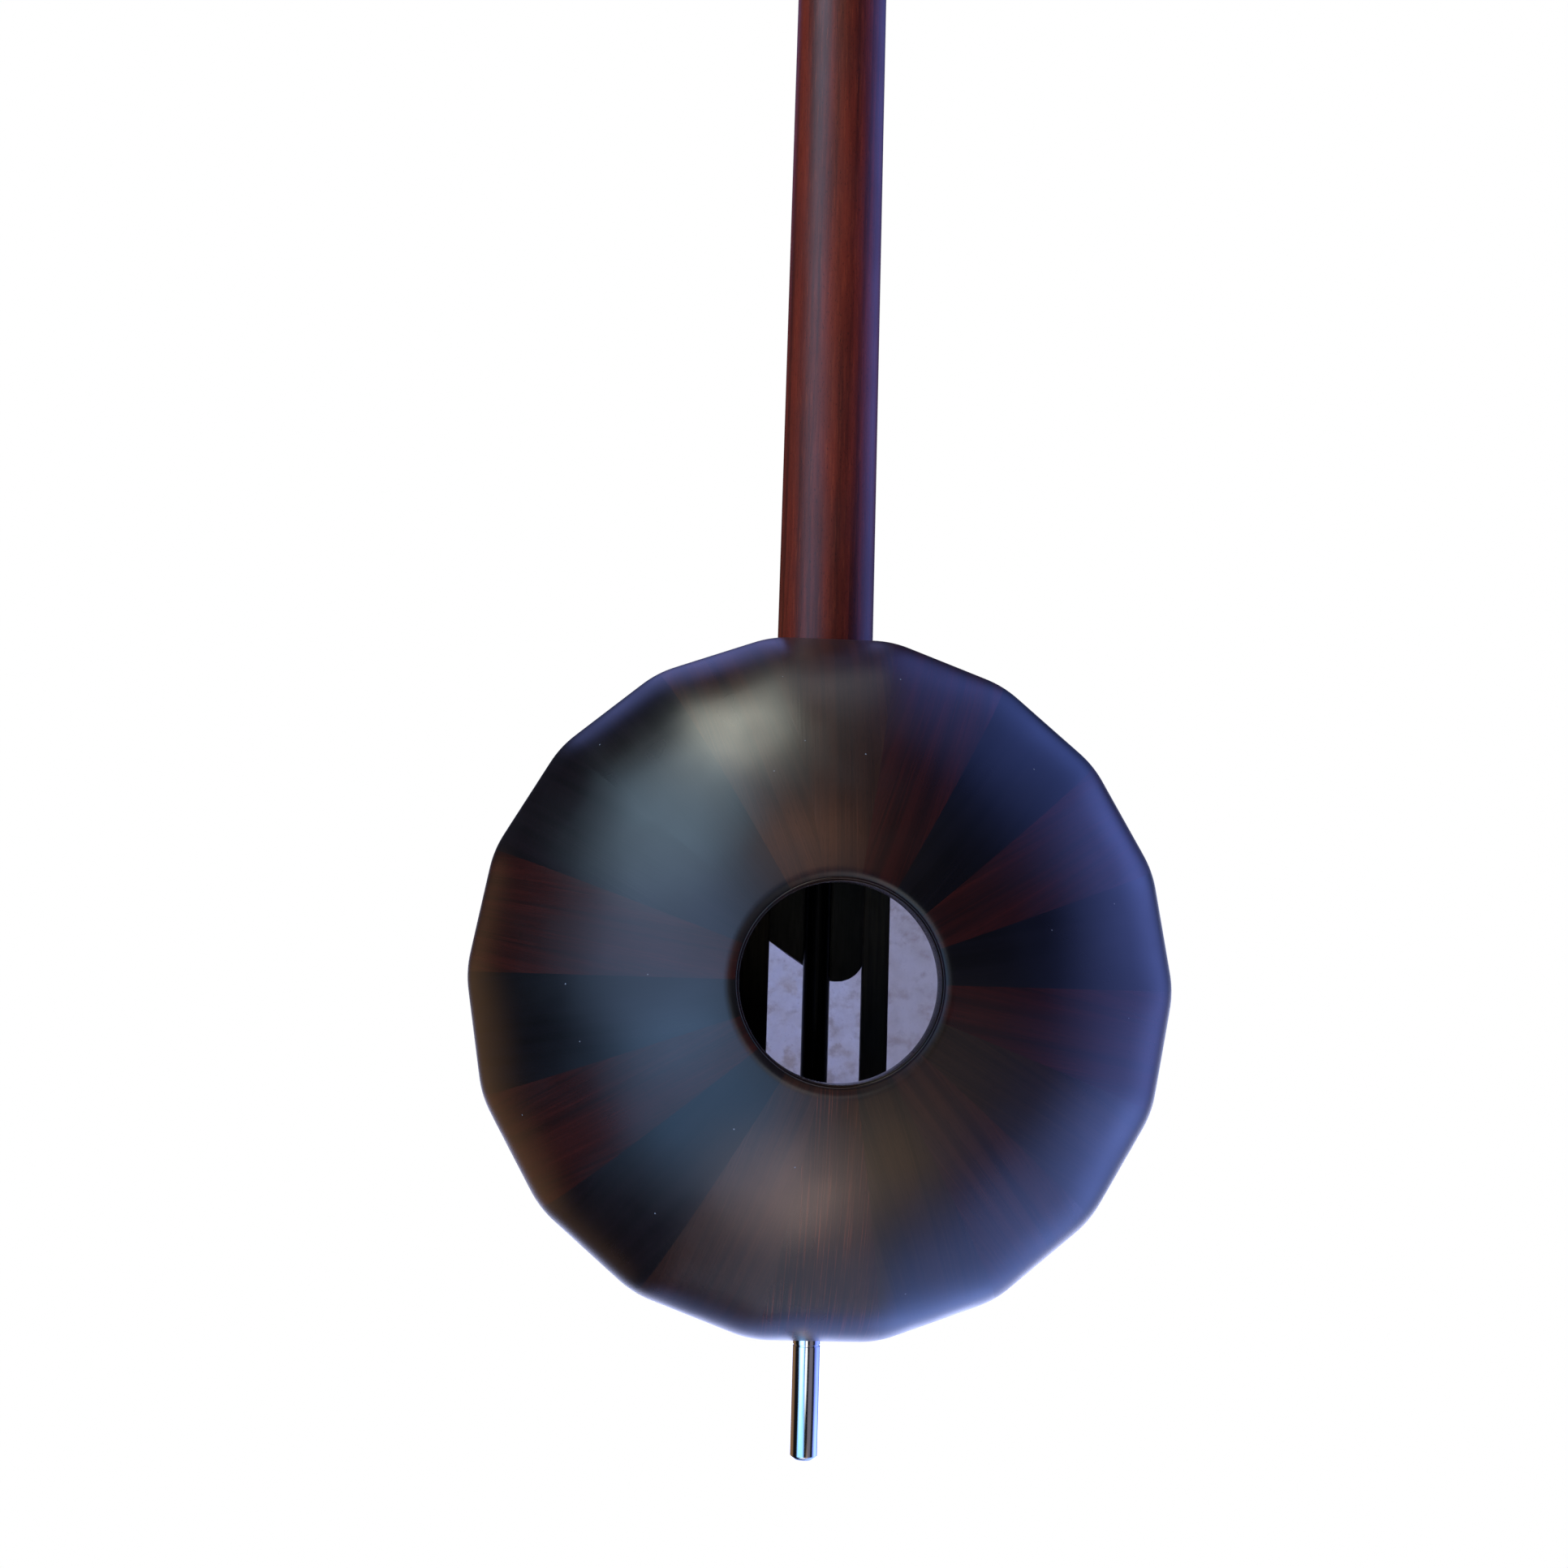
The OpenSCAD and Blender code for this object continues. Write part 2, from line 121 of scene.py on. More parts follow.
def mix_colour(tree: bpy.types.NodeTree, factor: Socket, a: object, b: object, blend: str = "MIX") -> Socket:
    """Mixes two colours.

    Args:
        tree: The tree that gets the node.
        factor: How much of b shows.
        a: A colour, or the socket that gives it.
        b: A colour, or the socket that gives it.
        blend: Blender's name for the way they mix.

    Returns:
        The mixed colour's socket.
    """
    settings, links = {"data_type": "RGBA", "blend_type": blend}, {MIX_FACTOR: factor}
    for key, value in ((MIX_A, a), (MIX_B, b)):
        (links if isinstance(value, bpy.types.NodeSocket) else settings)[key] = value
    return add_node(tree, "ShaderNodeMix", settings, links).outputs[MIX_RESULT]


# ---------------------------------------------------------------------------
# Finishes
# ---------------------------------------------------------------------------


class Lie(Enum):
    """Which way a piece's fibres run, and what its pattern is measured on."""

    ALONG_STAVE = "v of the stave's own flat pattern"
    ALONG_X = "the frame's X axis"
    ALONG_Y = "the frame's Y axis"
    ALONG_Z = "the frame's Z axis"


@dataclass(frozen=True)
class Finish:
    """A finish: it builds its material once and hands it to every piece that wears it."""

    name: str

    def material(self) -> bpy.types.Material:
        """Returns the material, building it the first time."""
        found = bpy.data.materials.get(self.name)
        if found:
            return found
        made = bpy.data.materials.new(self.name)
        made.use_nodes = True
        tree = made.node_tree
        tree.nodes.clear()
        shader = add_node(tree, "ShaderNodeBsdfPrincipled")
        add_node(tree, "ShaderNodeOutputMaterial", links={"Surface": shader.outputs[0]})
        self.paint(tree, shader)
        return made

    def paint(self, tree: bpy.types.NodeTree, shader: bpy.types.Node) -> None:
        """Fills in the shader; each finish does it in its own way.

        Args:
            tree: The material's tree.
            shader: Its Principled shader.
        """
        raise NotImplementedError

    def millimetres(self, tree: bpy.types.NodeTree, lie: Lie) -> Socket:
        """Gives each point's place in millimetres.

        Args:
            tree: The material's tree.
            lie: What the pattern is measured on.

        Returns:
            The socket with the place.
        """
        source = add_node(tree, "ShaderNodeTexCoord")
        flat = lie is Lie.ALONG_STAVE
        place = source.outputs["UV" if flat else "Object"]
        scale = FLAT_PATTERN_MM if flat else 1 / MM
        return add_node(
            tree, "ShaderNodeVectorMath", {"operation": "SCALE", "Scale": scale}, {0: place}
        ).outputs[0]

    def stretched(
        self, tree: bpy.types.NodeTree, place: Socket, lie: Lie, width: float, length: float
    ) -> Socket:
        """Squeezes the place so that a pattern of size 1 comes out this wide and this long.

        Args:
            tree: The material's tree.
            place: Place in millimetres.
            lie: Which way the fibres run.
            width: Size across the fibres, in millimetres.
            length: Size along the fibres, in millimetres.

        Returns:
            The squeezed place's socket.
        """
        across, along = 1 / width, 1 / length
        scales = {
            Lie.ALONG_STAVE: (across, along, across),
            Lie.ALONG_X: (along, across, across),
            Lie.ALONG_Y: (across, along, across),
            Lie.ALONG_Z: (across, across, along),
        }
        return add_node(
            tree, "ShaderNodeVectorMath", {"operation": "MULTIPLY", 1: scales[lie]}, {0: place}
        ).outputs[0]

    def noise(
        self, tree: bpy.types.NodeTree, place: Socket, detail: float = 2.0, roughness: float = 0.5
    ) -> Socket:
        """Gives a soft random pattern of size 1.

        Args:
            tree: The material's tree.
            place: The place that it is read at.
            detail: How many finer layers it has.
            roughness: How strong those are.

        Returns:
            The pattern's socket, about 0.2 to 0.8.
        """
        settings = {"Scale": 1.0, "Detail": detail, "Roughness": roughness}
        return add_node(tree, "ShaderNodeTexNoise", settings, {"Vector": place}).outputs[0]

    def ranged(self, tree: bpy.types.NodeTree, value: Socket, span: Point, out: Point = (0, 1)) -> Socket:
        """Maps a range of values smoothly onto another.

        Args:
            tree: The material's tree.
            value: The socket to map.
            span: The range read.
            out: The range given.

        Returns:
            The mapped value's socket.
        """
        settings = {"interpolation_type": "SMOOTHSTEP", 1: span[0], 2: span[1], 3: out[0], 4: out[1]}
        return add_node(tree, "ShaderNodeMapRange", settings, {0: value}).outputs[0]

    def dents(self, tree: bpy.types.NodeTree, shader: bpy.types.Node, height: Socket, depth: float) -> None:
        """Presses a height pattern into the surface's shading.

        Args:
            tree: The material's tree.
            shader: Its Principled shader.
            height: The pattern, 0 to 1.
            depth: Depth in millimetres at a pattern of 1.
        """
        bump = add_node(tree, "ShaderNodeBump", {"Distance": depth * MM}, {"Height": height})
        tree.links.new(bump.outputs[0], shader.inputs["Normal"])


# A stave's flat pattern is drawn so that 1 unit is this many millimetres.
FLAT_PATTERN_MM = 100.0


@dataclass(frozen=True)
class LacqueredWood(Finish):
    """Turned or planed hardwood under satin lacquer: the fibres show as long fine streaks with short dark
    pores, and the film over them is smooth and gives broad, soft reflections that strengthen at the edges."""

    base: str = "#5a3020"
    dark: str = "#2c1712"
    light: str = "#7a4028"
    lie: Lie = Lie.ALONG_Z
    figure_mm: Point = (3.2, 240.0)
    streak_mm: Point = (0.42, 40.0)
    pore_mm: Point = (0.16, 3.4)
    stripes: float = 0.35
    roughness: float = 0.3
    gloss: float = 0.5
    dust: bool = False
    cloud_mm: Point = (22.0, 30.0)
    pore: str = "#0c0605"
    speck: str = "#7d8086"
    speck_cell_mm: float = 7.0
    dent_mm: float = 0.012

    def paint(self, tree: bpy.types.NodeTree, shader: bpy.types.Node) -> None:
        """Lays figure, streaks, pores and dust over each other, under one even film."""
        place = self.millimetres(tree, self.lie)
        figure = self.noise(tree, self.stretched(tree, place, self.lie, *self.figure_mm), 3.0, 0.6)
        streak = self.noise(tree, self.stretched(tree, place, self.lie, *self.streak_mm), 3.0, 0.65)
        pore = self.noise(tree, self.stretched(tree, place, self.lie, *self.pore_mm), 1.0)
        cloud = self.noise(tree, self.stretched(tree, place, self.lie, *self.cloud_mm), 2.0)
        colour = mix_colour(
            tree, self.ranged(tree, figure, (0.32, 0.66)), linear(self.dark), linear(self.base)
        )
        colour = mix_colour(
            tree, self.ranged(tree, streak, (0.5, 0.78), (0.0, self.stripes * 2)), colour, linear(self.light)
        )
        colour = mix_colour(
            tree, self.ranged(tree, streak, (0.5, 0.3), (0.0, self.stripes)), colour, linear(self.dark)
        )
        clouds = self.ranged(tree, cloud, (0.4, 0.75), (0.0, 0.35))
        colour = mix_colour(tree, clouds, colour, linear(self.dark))
        pores = self.ranged(tree, pore, (0.62, 0.7), (0.0, 0.55))
        colour = mix_colour(tree, pores, colour, linear(self.pore))
        rough = self.ranged(tree, cloud, (0.3, 0.7), (self.roughness - 0.03, self.roughness + 0.05))
        if self.dust:
            colour, rough = self.dusted(tree, place, colour, rough)
        tree.links.new(colour, shader.inputs["Base Color"])
        tree.links.new(rough, shader.inputs["Roughness"])
        shader.inputs["Specular IOR Level"].default_value = self.gloss
        self.dents(tree, shader, streak, self.dent_mm)

    def dusted(
        self, tree: bpy.types.NodeTree, place: Socket, colour: Socket, rough: Socket
    ) -> tuple[Socket, Socket]:
        """Scatters a few pale specks of dust, each a few tenths of a millimetre wide.

        Args:
            tree: The material's tree.
            place: Place in millimetres.
            colour: The colour under the dust.
            rough: The roughness under the dust.

        Returns:
            The colour and the roughness with the dust on.
        """
        cells = add_node(tree, "ShaderNodeTexVoronoi", {"Scale": 1 / self.speck_cell_mm}, {"Vector": place})
        near = self.ranged(tree, cells.outputs["Distance"], (0.036, 0.02))
        some = add_node(tree, "ShaderNodeSeparateColor", links={0: cells.outputs["Color"]}).outputs[0]
        chosen = self.ranged(tree, some, (0.55, 0.57))
        speck = add_node(tree, "ShaderNodeMath", {"operation": "MULTIPLY"}, {0: near, 1: chosen}).outputs[0]
        colour = mix_colour(tree, speck, colour, linear(self.speck))
        rough = add_node(tree, "ShaderNodeMath", {"operation": "MAXIMUM"}, {0: rough, 1: speck}).outputs[0]
        return colour, rough


@dataclass(frozen=True)
class BareWood(Finish):
    """Planed wood with no film: dull, with fine fibres that catch a little light."""

    base: str = "#a37a4e"
    dark: str = "#7d5632"
    lie: Lie = Lie.ALONG_X
    roughness: float = 0.68
    ring_mm: Point = (1.6, 60.0)
    fibre_mm: Point = (0.25, 8.0)
    dent_mm: float = 0.03

    def paint(self, tree: bpy.types.NodeTree, shader: bpy.types.Node) -> None:
        """Lays growth lines and fine fibres over a dull ground."""
        place = self.millimetres(tree, self.lie)
        rings = self.noise(tree, self.stretched(tree, place, self.lie, *self.ring_mm), 3.0, 0.6)
        fibre = self.noise(tree, self.stretched(tree, place, self.lie, *self.fibre_mm), 2.0)
        growth = self.ranged(tree, rings, (0.35, 0.65))
        colour = mix_colour(tree, growth, linear(self.dark), linear(self.base))
        fibres = self.ranged(tree, fibre, (0.55, 0.75), (0.0, 0.4))
        colour = mix_colour(tree, fibres, colour, linear(self.dark))
        tree.links.new(colour, shader.inputs["Base Color"])
        rough = self.ranged(tree, fibre, (0.3, 0.7), (self.roughness - 0.08, self.roughness + 0.08))
        tree.links.new(rough, shader.inputs["Roughness"])
        self.dents(tree, shader, fibre, self.dent_mm)


@dataclass(frozen=True)
class PolishedSteel(Finish):
    """Drawn steel rod, polished lengthwise, bright, or darkened as painted shade where it stands in the dark
    inside of the bowl: fine lines run along it and streak its reflections."""

    colour: str = "#c9ccd2"
    stain: str = "#9a9a9c"
    lie: Lie = Lie.ALONG_Z
    roughness: float = 0.12
    line_mm: Point = (0.18, 60.0)
    patch_mm: Point = (5.0, 9.0)
    dent_mm: float = 0.002

    def paint(self, tree: bpy.types.NodeTree, shader: bpy.types.Node) -> None:
        """Varies the tint in soft patches and the roughness in fine lines."""
        place = self.millimetres(tree, self.lie)
        lines = self.noise(tree, self.stretched(tree, place, self.lie, *self.line_mm), 2.0)
        patch = self.noise(tree, self.stretched(tree, place, self.lie, *self.patch_mm), 3.0)
        colour = mix_colour(
            tree, self.ranged(tree, patch, (0.45, 0.75), (0.0, 0.5)), linear(self.colour), linear(self.stain)
        )
        tree.links.new(colour, shader.inputs["Base Color"])
        rough = self.ranged(tree, lines, (0.3, 0.7), (self.roughness * 0.7, self.roughness * 1.5))
        tree.links.new(rough, shader.inputs["Roughness"])
        shader.inputs["Metallic"].default_value = 1.0
        self.dents(tree, shader, lines, self.dent_mm)


@dataclass(frozen=True)
class StretchedSkin(Finish):
    """Thin scraped hide, stretched and dried: pale and translucent, with brown flecks and faint veins, and
    light from its far side comes through it."""

    base: str = "#f0ebe1"
    fleck: str = "#8e7a66"
    clouded: str = "#b0a597"
    # Painted shade: the colour, and the X centre and half width in millimetres, of a darker band across the
    # skin, standing in for shade near the braces.
    painted_shade: str = "#7d6f62"
    painted_shade_mm: Point = (-32.0, 34.0)
    cloud_mm: Point = (7.0, 8.0)
    patch_mm: Point = (5.6, 5.0)
    grain_mm: Point = (0.6, 0.7)
    scatter_mm: float = 6.0
    dent_mm: float = 0.05

    def paint(self, tree: bpy.types.NodeTree, shader: bpy.types.Node) -> None:
        """Lays clouds, flecks, a band of painted shade and a fine grain over a ground that light scatters
        through.
        """
        place = self.millimetres(tree, Lie.ALONG_Z)
        cloud = self.noise(tree, self.stretched(tree, place, Lie.ALONG_Z, *self.cloud_mm), 4.0, 0.6)
        patch = self.noise(tree, self.stretched(tree, place, Lie.ALONG_Z, *self.patch_mm), 5.0, 0.56)
        grain = self.noise(tree, self.stretched(tree, place, Lie.ALONG_Z, *self.grain_mm), 2.0)
        clouds = self.ranged(tree, cloud, (0.35, 0.7), (0.0, 0.45))
        colour = mix_colour(tree, clouds, linear(self.base), linear(self.clouded))
        flecks = self.ranged(tree, patch, (0.46, 0.7), (0.0, 0.7))
        colour = mix_colour(tree, flecks, colour, linear(self.fleck))
        # Painted shade: the skin darkens in a band centred at X = -32 mm, standing in for shade near the
        # braces.
        side = add_node(tree, "ShaderNodeSeparateXYZ", links={0: place}).outputs[0]
        middle, half_width = self.painted_shade_mm
        offset = add_node(tree, "ShaderNodeMath", {"operation": "SUBTRACT", 1: middle}, {0: side}).outputs[0]
        offset = add_node(tree, "ShaderNodeMath", {"operation": "ABSOLUTE"}, {0: offset}).outputs[0]
        painted_shade = self.ranged(tree, offset, (half_width, 0.0), (0.0, 0.6))
        colour = mix_colour(tree, painted_shade, colour, linear(self.painted_shade))
        grains = self.ranged(tree, grain, (0.6, 0.75), (0.0, 0.25))
        colour = mix_colour(tree, grains, colour, linear(self.fleck))
        tree.links.new(colour, shader.inputs["Base Color"])
        shader.inputs["Roughness"].default_value = 0.5
        shader.inputs["Subsurface Weight"].default_value = 1.0
        shader.inputs["Subsurface Radius"].default_value = (1.0, 0.9, 0.8)
        shader.inputs["Subsurface Scale"].default_value = self.scatter_mm * MM
        self.dents(tree, shader, patch, self.dent_mm)


@dataclass(frozen=True)
class PolishedBone(Finish):
    """Sawn and buffed bone: warm white with faint straight canals and a soft gloss."""

    base: str = "#e6dcc2"
    canal: str = "#bda985"
    canal_mm: Point = (0.3, 4.0)
    dent_mm: float = 0.01

    def paint(self, tree: bpy.types.NodeTree, shader: bpy.types.Node) -> None:
        """Lays faint canals over a warm white."""
        place = self.millimetres(tree, Lie.ALONG_X)
        canals = self.noise(tree, self.stretched(tree, place, Lie.ALONG_X, *self.canal_mm), 2.0)
        colour = mix_colour(
            tree, self.ranged(tree, canals, (0.6, 0.75), (0.0, 0.5)), linear(self.base), linear(self.canal)
        )
        tree.links.new(colour, shader.inputs["Base Color"])
        rough = self.ranged(tree, canals, (0.3, 0.7), (0.25, 0.38))
        tree.links.new(rough, shader.inputs["Roughness"])
        self.dents(tree, shader, canals, self.dent_mm)


@dataclass(frozen=True)
class WoundString(Finish):
    """A steel string wound with flat wire: the turns show as fine rings across it."""

    colour: str = "#b9bab8"
    # Painted shade: the gap colour darkens the grooves between the wire's turns, where shade falls.
    gap: str = "#6f6f6e"
    turn_mm: float = 0.5
    dent_mm: float = 0.06

    def paint(self, tree: bpy.types.NodeTree, shader: bpy.types.Node) -> None:
        """Rings the string with its turns of wire, drawn twice as coarse as real ones so that they show."""
        place = self.millimetres(tree, Lie.ALONG_Z)
        height = add_node(tree, "ShaderNodeSeparateXYZ", links={0: place}).outputs[2]
        angle = add_node(
            tree, "ShaderNodeMath", {"operation": "MULTIPLY", 1: 2 * math.pi / self.turn_mm}, {0: height}
        ).outputs[0]
        wave = add_node(tree, "ShaderNodeMath", {"operation": "SINE"}, {0: angle}).outputs[0]
        turns = self.ranged(tree, wave, (-1, 1))
        # Painted shade in the grooves between turns, laid on by the turns' wave.
        colour = mix_colour(tree, turns, linear(self.gap), linear(self.colour))
        tree.links.new(colour, shader.inputs["Base Color"])
        shader.inputs["Metallic"].default_value = 1.0
        shader.inputs["Roughness"].default_value = 0.3
        self.dents(tree, shader, turns, self.dent_mm)


# ---------------------------------------------------------------------------
# Meshes
# ---------------------------------------------------------------------------


def link_mesh(
    name: str, verts: Sequence, faces: Sequence, finish: Finish, flat: Optional[Sequence[Point]] = None
) -> bpy.types.Object:
    """Makes a mesh object with outward faces, smooth except across sharp edges.

    Args:
        name: The piece's name.
        verts: Its points, in metres.
        faces: Its faces, as lists of point numbers.
        finish: What it wears.
        flat: Each point's place on a flat pattern, by point number.

    Returns:
        The new object.
    """
    mesh = bpy.data.meshes.new(name)
    mesh.from_pydata([tuple(v) for v in verts], [], faces)
    if flat is not None:
        layer = mesh.uv_layers.new(name="flat_pattern")
        for loop in mesh.loops:
            layer.data[loop.index].uv = flat[loop.vertex_index]
    work = bmesh.new()
    work.from_mesh(mesh)
    bmesh.ops.recalc_face_normals(work, faces=work.faces)
    work.to_mesh(mesh)
    work.free()
    mesh.polygons.foreach_set("use_smooth", [True] * len(mesh.polygons))
    mesh.set_sharp_from_angle(angle=math.radians(CREASE_DEG))
    piece = bpy.data.objects.new(name, mesh)
    bpy.context.scene.collection.objects.link(piece)
    mesh.materials.append(finish.material())
    return piece


def stand_for(piece: bpy.types.Object, node: str, body: str = ROOT_BODY) -> bpy.types.Object:
    """Puts a piece in a CAD node's place and on its body.

    Args:
        piece: The detailed piece.
        node: The CAD node that it stands for.
        body: The body that it moves with.

    Returns:
        The piece.
    """
    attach(piece, body)
    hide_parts(node)
    LOG.info("%s stands for %s", piece.name, node)
    return piece


def dress(finish: Finish, *nodes: str) -> None:
    """Gives CAD nodes a finish.

    Args:
        finish: What they wear.
        *nodes: The nodes' names.
    """
    for node in nodes:
        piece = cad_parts[node]
        piece.data.materials.clear()
        piece.data.materials.append(finish.material())
        LOG.info("%s wears %s", node, finish.name)


def arc(centre: Point, radius: float, start: float, end: float, steps: int) -> list[Point]:
    """Gives places along an arc.

    Args:
        centre: The arc's centre.
        radius: Its radius.
        start: Where it starts, in degrees.
        end: Where it ends, in degrees.
        steps: How many stretches it is cut into.

    Returns:
        The places, from start to end.
    """
    angles = np.radians(np.linspace(start, end, steps + 1))
    return [(centre[0] + radius * math.cos(a), centre[1] + radius * math.sin(a)) for a in angles]


@dataclass
class Turning:
    """A piece made on a lathe: an outline of radius and height in millimetres, turned about an axis."""

    outline: list[Point]
    finish: Finish
    origin: Vector = field(default_factory=lambda: Vector((0, 0, 0)))
    turn: Matrix = field(default_factory=lambda: Matrix.Identity(3))
    segments: int = 96
    closed: bool = False

    def build(self, name: str) -> bpy.types.Object:
        """Turns the outline.

        Args:
            name: The piece's name.

        Returns:
            The turned piece.
        """
        verts, faces, rings = [], [], []
        for radius, height in self.outline:
            on_axis = radius < 1e-6
            rings.append(range(len(verts), len(verts) + (1 if on_axis else self.segments)))
            for k in range(len(rings[-1])):
                a = 2 * math.pi * k / self.segments
                local = Vector((radius * math.cos(a), radius * math.sin(a), height)) * MM
                verts.append(self.origin + self.turn @ local)
        pairs = list(zip(rings, rings[1:])) + ([(rings[-1], rings[0])] if self.closed else [])
        for low, high in pairs:
            faces += self.band(low, high)
        return link_mesh(name, verts, faces, self.finish)

    def band(self, low: range, high: range) -> list[list[int]]:
        """Joins two neighbouring rings of points, either of which may be one point on the axis.

        Args:
            low: The first ring's points.
            high: The second ring's points.

        Returns:
            The faces between them.
        """
        count = self.segments
        faces = []
        for k in range(count):
            n = (k + 1) % count
            corners = [low[k % len(low)], low[n % len(low)], high[n % len(high)], high[k % len(high)]]
            distinct = list(dict.fromkeys(corners))
            if len(distinct) > 2:
                faces.append(distinct)
        return faces


# ---------------------------------------------------------------------------
# The bowl
# ---------------------------------------------------------------------------


class Tone(Enum):
    """The woods that the staves are cut from: base, dark and light colours."""

    BROWN = ("#351d14", "#21130f", "#4a291d")
    OLIVE = ("#291b12", "#19120c", "#3c2819")
    RED = ("#30100d", "#1c0b0a", "#4a1a14")
    STRIPED = ("#31190f", "#1c0f0b", "#6e3421")
    DARK = ("#150e11", "#0d090b", "#1f1416")
    BLACK = ("#0d0b0e", "#080708", "#161113")


@dataclass
class StaveBowl:
    """The bowl: staves round an axis that runs from the skin to the sound hole, and the ring in the hole.

    Its sizes are in millimetres. The facets are flat up to facet_depth and gone after facet_fade more.
    """

    tones: tuple[Tone, ...] = (
        Tone.BROWN, Tone.RED, Tone.BLACK, Tone.RED, Tone.BLACK, Tone.RED, Tone.OLIVE, Tone.BROWN, Tone.OLIVE,
        Tone.STRIPED, Tone.BROWN, Tone.DARK, Tone.RED, Tone.BLACK, Tone.RED, Tone.DARK, Tone.DARK, Tone.BROWN,
    )
    stave_t: float = 4.0
    shoulder_r: float = 58.0
    back_depth: float = 74.0
    front_depth: float = 32.0
    corner_round: float = 30.0
    ring_wall: float = 0.9
    ring_bead: float = 0.5
    dip_w: float = 2.4
    dip_round: float = 3.6
    running: float = 0.05
    facet_depth: float = 30.0
    facet_fade: float = 32.0
    shoulder_steps: int = 42
    crown_steps: int = 60
    pattern_shift: Point = (1.37, 0.61)
    outer_bead: float = 0.26
    inner_bead: float = 0.14
    bead_gap: float = 0.04
    ring_groove: float = 0.34
    lip_share: float = 0.75
    glue_gap: float = 0.3
    flange_bevel: float = 0.4

    def __post_init__(self) -> None:
        """Reads the bowl's place and width from the frame."""
        count = len(self.tones)
        self.half_step = math.pi / count
        boxes = [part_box(self.node(i)) for i in range(count)]
        low = [min(b[0][k] for b in boxes) / MM for k in range(3)]
        high = [max(b[1][k] for b in boxes) / MM for k in range(3)]
        self.corner_r = (high[0] - low[0]) / 2
        self.apothem = self.corner_r * math.cos(self.half_step)
        self.axis_z = (low[2] + high[2]) / 2
        self.belly_y = low[1] + self.front_depth
        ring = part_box("back_ring")
        self.lip_y = ring[1][1] / MM
        self.ring_foot_y = ring[0][1] / MM
        self.flange_r = (ring[1][0] - ring[0][0]) / 2 / MM
        self.shoulder_x = self.apothem - self.shoulder_r
        flat = self.back_depth**2 - self.shoulder_r**2
        self.crown_r = (self.shoulder_x**2 + flat) / (2 * (self.back_depth - self.shoulder_r))
        self.joint = math.atan2(self.crown_r - self.back_depth, self.shoulder_x)
        crown_y = self.lip_y - self.belly_y - self.ring_bead - self.back_depth + self.crown_r
        self.ring_r = math.sqrt(self.crown_r**2 - crown_y**2)
        self.hole_r = self.ring_r - self.ring_wall

    def node(self, i: int) -> str:
        """Gives the name of a stave's CAD node."""
        return f"stave_{i + 1:02d}"

    def section(self, inset: float) -> list[Point]:
        """Draws the bowl's section from its front edge to the hole.

        Args:
            inset: How far inside the staves' outer surface it runs.

        Returns:
            Distances from the bowl's axis and from its widest plane.
        """
        shoulder, crown = self.shoulder_r - inset, self.crown_r - inset
        front = -math.degrees(math.asin(self.front_depth / shoulder))
        joint = math.degrees(self.joint)
        hole = math.degrees(math.acos((self.ring_r + self.running) / crown))
        low = arc((self.shoulder_x, 0), shoulder, front, joint, self.shoulder_steps)
        high = arc((0, self.back_depth - self.crown_r), crown, joint, hole, self.crown_steps)[1:]
        return low + [(r, y - self.dip(r - self.ring_r)) for r, y in high]

    def dip(self, from_ring: float) -> float:
        """Says how far the surface falls towards the ring, as sanding leaves it."""
        return max(self.dip_w - from_ring, 0) ** 2 / (2 * self.dip_round)

    def place(self, i: int, radial: float, across: float, depth: float) -> Vector:
        """Turns a place on stave i's own axes into the frame's.

        Args:
            i: The stave's number.
            radial: Distance from the bowl's axis towards the stave's middle.
            across: Distance to the stave's clockwise side, as seen from the back.
            depth: Distance behind the widest plane.

        Returns:
            The place in metres.
        """
        turn = 2 * self.half_step * i
        x = -radial * math.sin(turn) - across * math.cos(turn)
        z = radial * math.cos(turn) - across * math.sin(turn)
        return Vector((x, self.belly_y + depth, self.axis_z + z)) * MM

    def roundness(self, depth: float) -> float:
        """Says how far the flat facets have faded into a round back: 0 at the rim, 1 near the hole."""
        s = min(max((depth - self.facet_depth) / self.facet_fade, 0), 1)
        return s * s * (3 - 2 * s)

    def across_stave(self, apothem: float, depth: float, share: float, outer: bool) -> Point:
        """Shapes a stave across its width.

        Args:
            apothem: Distance from the bowl's axis to the stave's middle.
            depth: Distance behind the widest plane.
            share: Place across the stave, -1 to 1.
            outer: Whether this is the outer surface, whose corners are eased.

        Returns:
            Distance from the bowl's axis along the stave's middle line, and distance across it.
        """
        edge = math.tan(self.half_step)
        t = share * apothem * edge
        fall = 0.0
        if outer:
            start = apothem * edge - self.corner_round * edge
            over = max(abs(t) - start, 0)
            fall = self.corner_round - math.sqrt(self.corner_round**2 - over**2)
        angle = math.atan2(t, apothem)
        radius = math.hypot(t, apothem - fall)
        blend = self.roundness(depth)
        radius = radius * (1 - blend) + apothem * blend
        return radius * math.cos(angle), radius * math.sin(angle)

